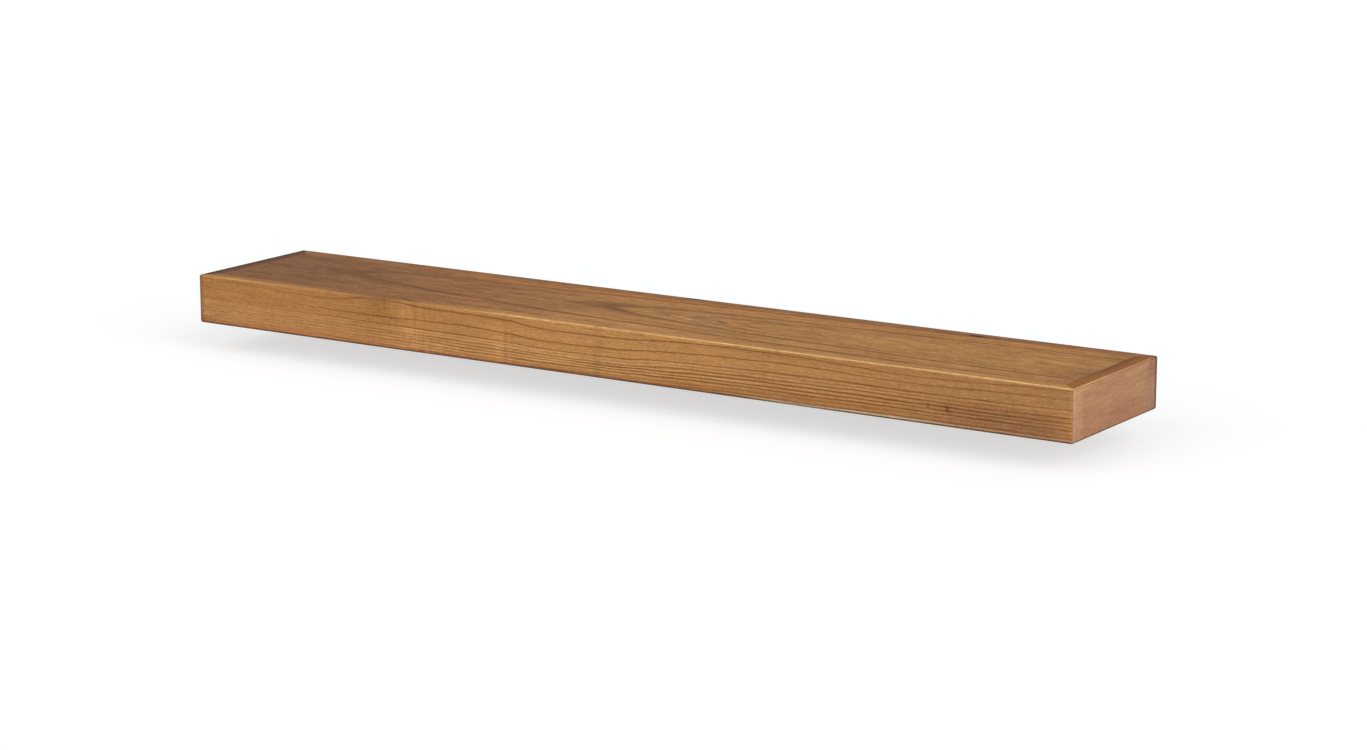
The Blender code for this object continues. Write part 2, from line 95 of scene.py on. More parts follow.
class Graph:
    """A material's node tree, with one short call for each kind of node that the finishes need."""

    def __init__(self, name, owners=None):
        self.material = (bpy.data.materials if owners is None else owners).new(name)
        self.material.use_nodes = True
        self.tree = self.material.node_tree
        self.tree.nodes.clear()

    def connect(self, value, socket):
        if isinstance(value, Wire):
            value = value.socket
        if isinstance(value, bpy.types.NodeSocket):
            self.tree.links.new(value, socket)
        else:
            socket.default_value = value

    def node(self, kind, inputs=None, **settings):
        made = self.tree.nodes.new("ShaderNode" + kind)
        for name, value in settings.items():
            setattr(made, name, value)
        for name, value in (inputs or {}).items():
            self.connect(value, made.inputs[name])
        return made

    def math(self, operation, first, second=0.0):
        made = self.node("Math", {0: first, 1: second}, operation=operation)
        return Wire(self, made.outputs[0])

    def least(self, first, second):
        return self.math("MINIMUM", first, second)

    def most(self, first, second):
        return self.math("MAXIMUM", first, second)

    def step(self, value, start, end, low=0.0, high=1.0):
        """Goes smoothly from low to high while value goes from start to end."""
        inputs = {"Value": value, "From Min": start, "From Max": end, "To Min": low, "To Max": high}
        made = self.node("MapRange", inputs, interpolation_type="SMOOTHSTEP")
        return Wire(self, made.outputs["Result"])

    def window(self, value, start, full, last, end):
        """Rises smoothly from start to full, stays at 1, and falls again from last to end."""
        return self.step(value, start, full) * self.step(value, end, last)

    def hump(self, value, centre, width):
        """1 at the centre, falling smoothly to nothing at a distance of about twice the width."""
        away = (value - centre) / width
        return self.math("EXPONENT", -(away * away))

    def spot(self, across, centre, width, down, depth, height):
        """A soft spot, where a hump across a face meets a hump down it."""
        return self.hump(across, centre, width) * self.hump(down, depth, height)

    def place(self):
        """The part's own coordinates in millimetres, as three numbers."""
        made = self.node("TexCoord")
        scaled = self.node("VectorMath", {0: made.outputs["Object"]}, operation="SCALE")
        scaled.inputs["Scale"].default_value = MM
        parted = self.node("SeparateXYZ", {0: scaled.outputs[0]})
        return [Wire(self, parted.outputs[axis]) for axis in "XYZ"]

    def vector(self, x, y, z):
        return self.node("CombineXYZ", {0: x, 1: y, 2: z}).outputs[0]

    def noise(self, x, y, z, seed, detail=2.0, roughness=0.5):
        """Smooth noise, about -1 to 1, with features one unit across."""
        inputs = {
            "Vector": self.vector(x, y, z),
            "W": seed,
            "Scale": 1.0,
            "Detail": detail,
            "Roughness": roughness,
        }
        made = self.node("TexNoise", inputs, noise_dimensions="4D")
        return (Wire(self, made.outputs[0]) - 0.5) * NOISE_GAIN

    def mix(self, amount, first, second):
        """The first colour where the amount is 0 or less, and the second where it is 1 or more."""
        made = self.node("Mix", data_type="RGBA", clamp_factor=True)
        self.connect(amount, made.inputs[MIX_FACTOR])
        self.connect(first, made.inputs[MIX_FIRST])
        self.connect(second, made.inputs[MIX_SECOND])
        return made.outputs[MIX_RESULT]

    def brighten(self, colour, factor):
        """The colour times a number."""
        made = self.node("VectorMath", {0: colour}, operation="SCALE")
        self.connect(factor, made.inputs["Scale"])
        return made.outputs[0]

    def curve(self, value, points):
        """A smooth curve through points (value, result), with both in their own units."""
        xs, ys = [p[0] for p in points], [p[1] for p in points]
        low, high = min(ys), max(ys)
        made = self.node("FloatCurve", {"Value": self.math("DIVIDE", value - xs[0], xs[-1] - xs[0])})
        line = made.mapping.curves[0]
        shares = [((x - xs[0]) / (xs[-1] - xs[0]), (y - low) / (high - low)) for x, y in points]
        line.points[0].location, line.points[1].location = shares[0], shares[-1]
        for share in shares[1:-1]:
            line.points.new(*share)
        made.mapping.update()
        return Wire(self, made.outputs[0]) * (high - low) + low

    def surface(self, colour, roughness, height, bump, **uniform):
        """Ends the tree in a Principled shader. The height in millimetres gives its bump."""
        shader = self.node("BsdfPrincipled", {"Base Color": colour, "Roughness": roughness})
        for name, value in uniform.items():
            shader.inputs[name.replace("_", " ")].default_value = value
        bumped = self.node("Bump", {"Height": height, "Distance": 1.0 / MM, "Strength": bump})
        self.tree.links.new(bumped.outputs[0], shader.inputs["Normal"])
        end = self.node("OutputMaterial")
        self.tree.links.new(shader.outputs[0], end.inputs["Surface"])
        return self.material


class Place:
    """A point of a board, in millimetres: its coordinates and its distances from the box's six faces."""

    def __init__(self, graph):
        self.x, self.y, self.z = graph.place()
        self.left = self.x - LOW.x
        self.right = HIGH.x - self.x
        self.front = self.y - LOW.y
        self.back = HIGH.y - self.y
        self.below = HIGH.z - self.z
        self.above = self.z - LOW.z


# Fibres: length and width in millimetres, how much each size lightens and darkens the wood, and the
# roughness of their noise
FINE_FIBRES = (
    (260.0, 9.0, 0.08),
    (90.0, 4.0, 0.14),
    (30.0, 2.6, 0.20),
    (11.0, 1.7, 0.26),
    (4.5, 1.2, 0.26),
)
BROAD_FIBRES = (
    (260.0, 18.0, 0.16),
    (90.0, 11.0, 0.22),
    (32.0, 8.0, 0.22),
    (13.0, 5.0, 0.24),
    (5.0, 2.4, 0.24),
)
FIBRE_NOISE_ROUGHNESS = 0.55

# Pores: their size in millimetres, and the noise at which one starts and is full
PORE_LENGTH, PORE_WIDTH = 7.0, 0.42
PORE_START, PORE_FULL = 0.5, 0.85

# The darkness of the weakest growth ring, as a share of the strongest one's
WEAKEST_RING = 0.45


def fibres(graph, grain, seed, sizes=FINE_FIBRES):
    """The long streaks and short fibres of a board, as a share that is added to its brightness."""
    along, across, up = grain
    total = 0.0
    for order, (length, width, strength) in enumerate(sizes):
        streaks = graph.noise(along / length, across / width, up / width, seed + order,
                              roughness=FIBRE_NOISE_ROUGHNESS)
        total = total + streaks * strength
    return total


def pores(graph, grain, seed):
    """Short dark dashes along the grain: 0 between them, 1 inside."""
    along, across, up = grain
    field = graph.noise(along / PORE_LENGTH, across / PORE_WIDTH, up / PORE_WIDTH, seed, detail=0.0)
    return graph.step(field, PORE_START, PORE_FULL)


def ring_parts(graph, phase, width, seed):
    """The latewood lines where the phase is a whole number, and the darkness of each one."""
    ring = graph.math("ROUND", phase)
    line = graph.step(graph.math("ABSOLUTE", phase - ring), width, 0.0)
    chance = graph.node("TexWhiteNoise", {"W": ring + seed}, noise_dimensions="1D").outputs[0]
    return line, graph.step(Wire(graph, chance), 0.0, 1.0, WEAKEST_RING, 1.0)


def ring_lines(graph, phase, width, seed):
    """Dark latewood lines where the phase is a whole number, each of its own darkness."""
    line, darkness = ring_parts(graph, phase, width, seed)
    return line * darkness


# Oiled wood: how much its pores darken it, its roughness with what ring lines, pores and fibres add to it,
# the height of each in millimetres, and how strongly that relief shows
PORE_DARKENING = 0.24
ROUGHNESS = SimpleNamespace(plain=0.54, lines=-0.06, pores=0.1, fibres=-0.15)
HEIGHT = SimpleNamespace(lines=-0.15, pores=-0.6, fibres=0.15)
WOOD_BUMP = 0.12


def wood_surface(graph, colour, lines, fibre, pore, gloss):
    """Oiled wood: satin on the latewood lines, duller in the pores, which are also slightly sunk."""
    colour = graph.brighten(colour, 1.0 + fibre - pore * PORE_DARKENING)
    roughness = ROUGHNESS.plain + lines * ROUGHNESS.lines + pore * ROUGHNESS.pores + fibre * ROUGHNESS.fibres
    height = fibre * HEIGHT.fibres + pore * HEIGHT.pores + lines * HEIGHT.lines
    return graph.surface(colour, roughness, height, bump=WOOD_BUMP, Specular_IOR_Level=gloss)


# The painted shade on an arris starts, and is full, where the distances to both faces add up to these
# shares of the rounding's radius
SHADE_START_SHARE, SHADE_FULL_SHARE = 1.15, 0.62
# The painted shade's dark brown, and how strongly it shows
ARRIS_SHADE_COLOUR = rgb(88, 60, 46)
ARRIS_SHADE_STRENGTH = 0.7

# The depths at which a top strip's colour starts and is full
TOP_START, TOP_FULL = 3.0, 0.6


def both_near(graph, first, second, radius):
    """1 on the rounding where two faces meet, from the distances to both faces, and 0 away from it."""
    return graph.step(first + second, radius * SHADE_START_SHARE, radius * SHADE_FULL_SHARE)


def shaded_arrises(graph, at, colour):
    """Painted shade on the arrises at the back, below and round the left end, whose roundings turn from the
    light.
    """
    nearest = graph.least(graph.least(at.left, at.right), graph.least(at.front, at.back))
    dark = both_near(graph, at.above, nearest, BOTTOM_RADIUS)
    for side in (at.back, at.left):
        dark = graph.most(dark, both_near(graph, side, at.below, TOP_RADIUS))
    for first, second in ((at.back, at.right), (at.back, at.left), (at.front, at.left)):
        dark = graph.most(dark, both_near(graph, first, second, CORNER_RADIUS))
    # dark: where the painted shade falls on the arrises
    return graph.mix(dark * ARRIS_SHADE_STRENGTH, colour, ARRIS_SHADE_COLOUR)


def on_top(graph, at):
    """1 on the top face and 0 below it."""
    return graph.step(at.below, TOP_START, TOP_FULL)


# The front board's colours, named after the places where they show
FRONT = SimpleNamespace(
    left=rgb(178, 126, 74),
    middle=rgb(190, 138, 83),
    right=rgb(175, 127, 80),
    dense_sides=rgb(190, 138, 86),
    dense_middle=rgb(204, 152, 95),
    patches=rgb(168, 110, 62),
    low_right=rgb(156, 110, 74),
    low_ends=rgb(140, 98, 62),
    low_streaks=rgb(176, 102, 62),
    low_shade=rgb(132, 92, 60),
    low_brown=rgb(144, 98, 56),
    light_band=rgb(208, 158, 104),
    low_glint=rgb(226, 200, 166),
    dull_band=rgb(132, 92, 54),
    rings=rgb(112, 68, 32),
    eyes=rgb(100, 52, 34),
    left_edge=rgb(140, 88, 56),
    strip_left=rgb(168, 112, 58),
    strip_right=rgb(198, 142, 76),
    # The painted highlight along the top strip's rim
    strip_rim_highlight=rgb(214, 156, 86),
    strip_corner=rgb(116, 76, 46),
    strip_dark=rgb(142, 88, 50),
    strip_mark=rgb(108, 60, 30),
    # The painted highlight on the front arris, at the left and the right, and where it dims
    arris_highlight_left=rgb(196, 142, 86),
    arris_highlight_right=rgb(246, 200, 142),
    arris_highlight_dim=rgb(150, 92, 52),
)

# The front board's growth rings: the depth of three single ones and of the last dense one below the top
# edge, along the board, in millimetres, and the count of dense ones between the last two
RING_LINES = (
    ((0, 4), (150, 8), (250, 10), (350, 1.5), (430, 5), (600, 8), (690, 14), (760, 13.5), (850, 10),
     (1020, 5), (1200, 9), (1280, 10.5), (1370, 8.5), (1450, 4.5), (1524, 3)),
    ((0, 15), (150, 24), (260, 27), (350, 28), (470, 25), (600, 28), (680, 31.5), (850, 25), (1000, 19),
     (1100, 18), (1250, 21), (1330, 20), (1400, 17.5), (1524, 15)),
    ((0, 33), (100, 37), (470, 39), (600, 41), (690, 43.5), (850, 38.5), (950, 35), (1150, 31.5),
     (1300, 32.5), (1524, 30)),
    ((0, 66), (300, 67), (690, 70), (1000, 67), (1524, 66)),
)
DENSE_RINGS = 6.5

# How far the rings sink for each millimetre from the front towards the back
RING_TILT = 0.35

# Half the width of a ring's line, as a share of the rings' pitch, and what the dense rings add to it
RING_HALF_WIDTH_SHARE, DENSE_EXTRA_SHARE = 0.11, 0.33

# Where the dark left edge starts and is full, from the left end
EDGE_START, EDGE_FULL = 10.0, 7.0

# The painted highlight on the front arris: the middle and width of each stretch, and how much brighter or
# darker the highlight is there
HIGHLIGHT_STRETCHES = ((810, 80, -0.35), (508, 24, -0.3), (80, 60, 0.35))


def ring_phase(graph, along, depth):
    """How many growth rings lie above a depth: a whole number on each dark line."""
    first, second, third, last = (graph.curve(along, points) for points in RING_LINES)
    upper = graph.least((depth - first) / (second - first), 1.0)
    middle = graph.most(graph.least((depth - second) / (third - second), 1.0), 0.0)
    lower = graph.most((depth - third) / (last - third), 0.0)
    return upper + middle + lower * DENSE_RINGS


def front_rings(graph, at):
    """Where the front board's rings are dense, 0 or 1, and how dark their lines are."""
    wobble = graph.noise(at.left / 70, at.z / 20, at.front / 20, seed=1.0) * 0.8
    phase = ring_phase(graph, at.left, at.below - at.front * RING_TILT + wobble)
    dense = graph.step(phase, 1.9, 2.4)
    sway = graph.noise(at.left / 170, at.z / 9, at.front / 30, seed=4.0, detail=1.0)
    phase = phase + dense * sway * 0.3
    line, darkness = ring_parts(graph, phase, RING_HALF_WIDTH_SHARE + dense * DENSE_EXTRA_SHARE, 0.5)
    fade = graph.noise(at.left / 90, at.z / 6, at.front / 20, seed=2.0)
    lines = line * graph.step(fade, -1.4, 0.5, 0.45, 1.0) * graph.step(at.left, 100, 480, 0.35, 1.0)
    darkness = darkness * graph.step(at.left, 150, 950, 0.62, 0.95)
    lines = lines * graph.step(dense, 0.0, 1.0, 0.85, darkness)
    return dense, lines * graph.step(at.left, 1380, 1500, 1.0, 0.75)


def front_base(graph, at, dense):
    """The front board's own colours from left to right, paler among the dense rings, with warm patches."""
    colour = graph.mix(graph.step(at.left, 350, 700), FRONT.left, FRONT.middle)
    colour = graph.mix(graph.step(at.left, 900, 1400), colour, FRONT.right)
    middle = graph.window(at.left, 320, 480, 940, 1080)
    colour = graph.mix(dense, colour, graph.mix(middle, FRONT.dense_sides, FRONT.dense_middle))
    patch = graph.noise(at.left / 220, at.z / 22, at.front / 40, seed=7.0)
    return graph.mix(graph.step(patch, -0.2, 1.2) * 0.4, colour, FRONT.patches)


def front_zones(graph, at, colour):
    """The darker, redder and paler zones low on the front board, and a dull one near its top."""
    low_right = graph.window(at.left, 1200, 1420, 1485, 1522) * graph.step(at.below, 30, 42)
    colour = graph.mix(low_right * graph.step(at.below, 54, 62, 0.62, 0.88), colour, FRONT.low_right)
    ends = graph.step(at.left, 1500, 1518) + graph.step(at.left, 90, 30)
    colour = graph.mix(ends * graph.step(at.below, 56, 70) * 0.4, colour, FRONT.low_ends)
    streak = graph.noise(at.left / 120, at.z / 2.2, at.front / 8, seed=8.0, detail=3.0, roughness=0.6)
    red = graph.step(at.below + streak * 12, 60, 78) * graph.step(at.left, 1150, 900, 0.3, 1.0)
    colour = graph.mix(red * 0.6, colour, FRONT.low_streaks)
    shade = graph.step(at.below, 66, 72) * graph.window(at.left, 460, 620, 780, 880)
    colour = graph.mix(shade * 0.3, colour, FRONT.low_shade)
    brown = graph.step(at.below, 54, 64) * graph.window(at.left, 780, 900, 1210, 1290)
    colour = graph.mix(brown * 0.35, colour, FRONT.low_brown)
    colour = graph.mix(graph.spot(at.left, 1130, 110, at.below, 42, 8) * 0.35, colour, FRONT.light_band)
    glint = graph.step(at.left, 960, 1080) * graph.step(at.left, 1400, 1250, 0.3, 1.0)
    glint = glint * graph.step(at.below + streak * 2, 69, 73) * graph.step(at.front, 1.5, 0.5)
    colour = graph.mix(glint * 0.95, colour, FRONT.low_glint)
    dull = graph.hump(at.left, 1060, 70) * graph.step(at.below, 17, 10)
    return graph.mix(dull * 0.25, colour, FRONT.dull_band)


def left_edge(graph, at):
    """1 along the front board's left edge and 0 away from it."""
    return graph.step(at.left, EDGE_START, EDGE_FULL)


def front_marks(graph, at, colour):
    """Two small dark eyes near the right end, and the dark left edge with its dots."""
    eyes = graph.spot(at.left, 1303, 2.4, at.below, 50, 3.5) * 0.6
    eyes = eyes + graph.spot(at.left - (at.below - 51) * 0.4, 1333, 2.6, at.below, 51, 5.0)
    colour = graph.mix(eyes * 0.8, colour, FRONT.eyes)
    beads = graph.noise(at.z / 2.5, 0.0, 0.0, seed=9.0, detail=1.0)
    dots = graph.hump(at.left, 9.0, 1.2) * graph.step(beads, -0.6, 0.6)
    return graph.mix(left_edge(graph, at) * 0.5 + dots * 0.4, colour, FRONT.left_edge)


def front_top_strip(graph, at, colour):
    """The orange strip on top: paler to the right, with a painted highlight at its rim, a dark stretch and a
    dark mark.
    """
    top = on_top(graph, at)
    strip = graph.mix(graph.step(at.left, 430, 640), FRONT.strip_left, FRONT.strip_right)
    # A painted highlight along the strip's rim, next to the arris
    strip = graph.mix(graph.step(at.front, 15, 6) * 0.6, strip, FRONT.strip_rim_highlight)
    colour = graph.mix(top * 0.8, colour, strip)
    colour = graph.mix(top * left_edge(graph, at) * 0.5, colour, FRONT.strip_corner)
    colour = graph.mix(top * graph.hump(at.left, 330, 80) * 0.5, colour, FRONT.strip_dark)
    mark = graph.hump(at.left + at.front * 1.6, 424, 14) * graph.step(at.front, 2.0, 8.0) * top
    return graph.mix(mark * 0.8, colour, FRONT.strip_mark)


def front_arris(graph, at, colour):
    """A painted highlight on the arris between the front and the top, strongest towards the right."""
    arris = graph.step(at.below, 1.1, 0.5) * graph.step(at.front, 3.8, 2.6)
    # How the painted highlight brightens and dims along the arris
    highlight_change = graph.noise(at.left / 60, 0.0, 0.0, seed=11.0) * 0.12
    for middle, width, change in HIGHLIGHT_STRETCHES:
        highlight_change = highlight_change + graph.hump(at.left, middle, width) * change
    # The painted highlight's colour, paler towards the right
    pale = graph.mix(graph.step(at.left, 440, 660) + highlight_change, FRONT.arris_highlight_left, FRONT.arris_highlight_right)
    pale = graph.mix(graph.hump(at.left, 378, 42) * 0.6, pale, FRONT.arris_highlight_dim)
    return graph.mix(arris, colour, pale)


def curl_and_shimmer_bands(graph, at):
    """The stripes across the grain where the fibres curl, partly the wood's own figure and partly painted
    shimmer of light, as a share of brightness.
    """
    curl = at.left + graph.noise(at.left / 60, at.front / 25, at.z / 25, seed=5.0, detail=1.0) * 3
    bands = graph.hump(curl, 412, 24) * graph.step(at.below, 60, 40, 0.5, 1.0) * 0.16
    bands = bands - graph.hump(curl, 355, 22) * graph.step(at.below, 34, 16, 0.2, 1.0) * 0.14
    bands = bands - graph.hump(curl, 755, 9) * 0.13
    bands = bands + graph.spot(curl, 463, 20, at.below, 33, 12) * 0.12
    bands = bands + graph.spot(curl, 570, 26, at.below, 24, 12) * 0.09
    bands = bands + graph.hump(curl, 577, 10) * 0.07
    bands = bands - graph.hump(curl, 592, 4) * graph.step(at.below, 14, 26) * 0.09
    near = graph.hump(at.left, 415, 45) + graph.hump(at.left, 585, 20) * 0.5
    ripple = graph.noise(curl / 6, at.front / 60, at.z / 60, seed=6.0, detail=1.0)
    return bands + ripple * (0.02 + near * 0.17)


def front_wood():
    """Golden brown, with rings that run along the board: wide apart above and dense below."""
    graph = Graph("front_wood")
    at = Place(graph)
    dense, lines = front_rings(graph, at)
    colour = front_base(graph, at, dense)
    colour = front_zones(graph, at, colour)
    colour = graph.mix(lines, colour, FRONT.rings)
    # The marks, the top strip, the painted shade on the arrises and the painted highlight on the front arris
    for add in (front_marks, front_top_strip, shaded_arrises, front_arris):
        colour = add(graph, at, colour)
    grain = at.left, at.front, at.z
    # The fibres, and the curl's stripes with their painted shimmer
    fibre = fibres(graph, grain, seed=10.0) + curl_and_shimmer_bands(graph, at)
    return wood_surface(graph, colour, lines, fibre, pores(graph, grain, seed=20.0), gloss=0.06)


# The top panel's colours, named after the places where they show
PANEL = SimpleNamespace(
    left=rgb(146, 99, 61),
    middle=rgb(182, 124, 70),
    right=rgb(200, 143, 83),
    patches=rgb(164, 108, 56),
    left_half=rgb(128, 90, 56),
    back_glow=rgb(200, 126, 56),
    light_spot=rgb(222, 168, 110),
    right_edge=rgb(150, 104, 68),
    rings=rgb(128, 79, 30),
    speck=rgb(112, 84, 44),
)

# The cathedral figure of the top panel: growth rings round a pith line, which rises towards the surface.
# All in millimetres: the pith's depth at the left end, its rise for each one to the right, and its
# distance from the back edge.
PITH_DEPTH_LEFT = 121.8
PITH_RISE = 0.0648
PITH_LINE = ((0, 96), (195, 103), (400, 113), (700, 122), (1100, 127), (1524, 130))

# The dark rings round the pith: radius, darkness and softness. Each fades outwards and inwards over these
# shares of its softness.
DARK_RINGS = (
    (108.5, 1.0, 3.6),
    (78.0, 1.0, 3.8),
    (66.5, 0.6, 2.0),
    (94.0, 0.2, 2.4),
    (71.0, 0.3, 1.2),
    (61.0, 0.4, 1.4),
    (54.0, 0.3, 1.4),
)
OUTER_FADE_SHARE, INNER_FADE_SHARE = 2.2, 0.55
FINE_RING_PITCH = 3.4


def panel_rings(graph, at):
    """How dark the panel's ring lines are: the cathedral arches, and faint fine ones everywhere."""
    sway = graph.noise(at.left / 120, at.back / 60, at.z / 60, seed=1.0) * 4
    sideways = at.back - graph.curve(at.left, PITH_LINE) + sway
    heave = graph.noise(at.left / 300, at.back / 50, at.z / 50, seed=2.0) * 2
    depth = PITH_DEPTH_LEFT - at.left * PITH_RISE + heave
    radius = graph.math("SQRT", sideways * sideways + depth * depth)
    dark = 0.0
    for ring, darkness, softness in DARK_RINGS:
        outer = graph.step(radius, ring + softness * OUTER_FADE_SHARE, ring)
        inner = graph.step(radius, ring - softness * INNER_FADE_SHARE, ring)
        dark = dark + outer * inner * darkness
    fade = graph.noise(at.left / 110, at.back / 30, at.z / 30, seed=3.0)
    dark = dark * graph.step(fade, -1.2, 1.0, 0.6, 0.95) * graph.step(sideways, -50, 20, 0.9, 1.0)
    return dark + ring_lines(graph, radius / FINE_RING_PITCH, 0.5, 4.0) * 0.2


def panel_base(graph, at):
    """The panel's own colours from left to right, with warm patches and an orange glow near the back."""
    colour = graph.mix(graph.step(at.left, 60, 520), PANEL.left, PANEL.middle)
    colour = graph.mix(graph.step(at.left, 420, 840), colour, PANEL.right)
    patch = graph.noise(at.left / 260, at.back / 35, at.z / 40, seed=7.0)
    colour = graph.mix(graph.step(patch, -0.2, 1.4) * 0.4, colour, PANEL.patches)
    colour = graph.mix(graph.step(at.left, 700, 580) * 0.2, colour, PANEL.left_half)
    streak = graph.noise(at.left / 110, at.back / 6, at.z / 6, seed=8.0)
    glow = graph.step(at.back + patch * 20, 70, 30) * graph.step(at.left, 60, 500)
    glow = glow * graph.step(streak, -0.8, 0.9, 0.2, 0.7)
    return graph.mix(glow, colour, PANEL.back_glow)


def panel_wood():
    """Brown, greyer at the left end and lighter at the right, with two dark cathedral arches."""
    graph = Graph("panel_wood")
    at = Place(graph)
    lines = panel_rings(graph, at)
    colour = panel_base(graph, at)
    colour = graph.mix(graph.spot(at.left, 846, 45, at.back, 136, 12) * 0.8, colour, PANEL.light_spot)
    colour = graph.mix(graph.step(at.left, 1440, 1500) * 0.35, colour, PANEL.right_edge)
    colour = graph.mix(lines, colour, PANEL.rings)
    speck = graph.spot(at.left - (at.back - 132) * 1.2, 888, 13, at.back, 132, 9)
    colour = graph.mix(speck * 0.9, colour, PANEL.speck)
    grain = at.left, at.back, at.z
    fibre = fibres(graph, grain, 30.0, BROAD_FIBRES)
    return wood_surface(graph, colour, lines, fibre, pores(graph, grain, seed=40.0), gloss=0.04)


# Straight-grained wood: half a ring line's width, as a share of the rings' pitch, and how far the rings
# lean for each millimetre across the board
LINE_HALF_WIDTH_SHARE = 0.42
RING_LEAN = 0.3
PLAIN_GLOSS = 0.15


def straight_grain(graph, grain, colours, pitch, seed):
    """The colour and the ring lines of straight-grained wood, from its pale, dark and ring colours."""
    along, across, up = grain
    pale, dark, rings = colours
    bend = graph.noise(along / 130, across / 45, up / 30, seed) * 2.4
    phase = (up + bend + across * RING_LEAN) / pitch
    fade = graph.noise(along / 80, across / 20, up / 8, seed + 1)
    lines = ring_lines(graph, phase, LINE_HALF_WIDTH_SHARE, seed) * graph.step(fade, -1.0, 1.0, 0.2, 1.0)
    patch = graph.noise(along / 150, across / 30, up / 18, seed + 2)
    colour = graph.mix(graph.step(patch, -1.1, 1.1), pale, dark)
    return graph.mix(lines * 0.5, colour, rings), lines


def straight_finish(graph, grain, colour, lines, seed, gloss, sizes=FINE_FIBRES):
    """Ends a straight-grained wood with its fibres and pores."""
    fibre = fibres(graph, grain, seed + 3, sizes)
    return wood_surface(graph, colour, lines, fibre, pores(graph, grain, seed + 9), gloss)


def plain_wood(name, axes, colours, pitch, seed):
    """Straight-grained wood without marks. Its grain runs along the first of the axes."""
    graph = Graph(name)
    place = dict(zip("xyz", graph.place()))
    grain = [place[axis] for axis in axes]
    colour, lines = straight_grain(graph, grain, colours, pitch, seed)
    return straight_finish(graph, grain, colour, lines, seed, PLAIN_GLOSS)


def core_wood():
    """Pale wood of the ribs and corner blocks, which no one sees on the finished shelf."""
    colours = rgb(206, 172, 122), rgb(186, 148, 98), rgb(150, 108, 62)
    return plain_wood("core_wood", "xyz", colours, pitch=3.2, seed=60.0)


def hard_wood():
    """Darker, harder wood of the rail, the keys and the lock blocks, out of sight as well."""
    colours = rgb(190, 140, 96), rgb(166, 116, 76), rgb(122, 80, 50)
    return plain_wood("hard_wood", "xyz", colours, pitch=2.4, seed=70.0)


def bottom_wood():
    """The panel below, plainer than the one above."""
    colours = rgb(168, 121, 76), rgb(152, 106, 66), rgb(116, 76, 42)
    return plain_wood("bottom_wood", "xzy", colours, pitch=9.0, seed=130.0)


# The dark marks of the back board's top strip: middle and width along it, middle and width across it
# from the back edge, and darkness
BACK_MARKS = ((760, 16, 5, 6, 1.6), (1247, 12, 20, 5, 1.0), (930, 60, 16, 2, 0.4), (1262, 62, 18, 6, 0.6))


def back_wood():
    """Reddish orange on its top strip, with a few dark marks, and plain brown behind."""
    graph = Graph("back_wood")
    at = Place(graph)
    grain = at.left, at.back, at.z
    colours = rgb(168, 122, 74), rgb(156, 106, 62), rgb(122, 76, 40)
    seed = 100.0
    colour, lines = straight_grain(graph, grain, colours, 5.0, seed)
    red = graph.noise(at.left / 130, at.back / 4, at.z / 6, seed + 5)
    colour = graph.mix(graph.step(red, -0.3, 0.9) * 0.7, colour, rgb(176, 106, 56))
    marks = 0.0
    for middle, width, depth, height, darkness in BACK_MARKS:
        marks = marks + graph.spot(at.left, middle, width, at.back, depth, height) * darkness
    marks = marks * graph.step(at.below, 5.0, 1.5)
    colour = graph.mix(marks * 0.8, colour, rgb(60, 34, 26))
    # Painted shade on the arrises
    colour = shaded_arrises(graph, at, colour)
    return straight_finish(graph, grain, colour, lines, seed, 0.04, BROAD_FIBRES)


def left_end_wood():
    """Its top strip is a dark reddish brown, and its face is like the other end's."""
    graph = Graph("left_end_wood")
    at = Place(graph)
    grain = at.y, at.x, at.z
    colours = rgb(182, 134, 98), rgb(168, 120, 88), rgb(146, 100, 70)
    seed = 110.0
    colour, lines = straight_grain(graph, grain, colours, 11.0, seed)
    strip = graph.mix(graph.step(at.left, 5.0, 21.0), rgb(70, 41, 25), rgb(118, 74, 42))
    colour = graph.mix(graph.step(at.below, 4.0, 1.0) * 0.95, colour, strip)
    # Painted shade on the arrises
    colour = shaded_arrises(graph, at, colour)
    return straight_finish(graph, grain, colour, lines, seed, gloss=0.03)


# The right end's colours, named after the places where they show
END = SimpleNamespace(
    pale=rgb(194, 145, 107),
    dark=rgb(180, 132, 98),
    warm=rgb(192, 138, 92),
    light=rgb(214, 168, 122),
    pink=rgb(172, 114, 90),
    low=rgb(170, 120, 88),
    low_back=rgb(134, 96, 72),
    top_back=rgb(166, 100, 66),
    back=rgb(168, 134, 114),
    stripe=rgb(214, 166, 128),
    rose=rgb(200, 136, 108),
    strip_front=rgb(164, 105, 50),
    strip_back=rgb(152, 95, 50),
    strip_inner=rgb(122, 72, 38),
    strip_outer=rgb(166, 114, 56),
    # The painted shade on the back edge
    back_edge_shade=rgb(104, 80, 66),
    # The painted highlights on the top arris, front and back, and on the front corner
    arris_highlight_front=rgb(224, 174, 122),
    arris_highlight_back=rgb(196, 142, 98),
    corner=rgb(216, 170, 132),
)

# Its wavy bands: their pitch in millimetres, how far they fall for each one towards the back, and their
# shift in radians
BAND_PITCH = 27.0
BAND_FALL = 0.04
BAND_SHIFT = 1.4


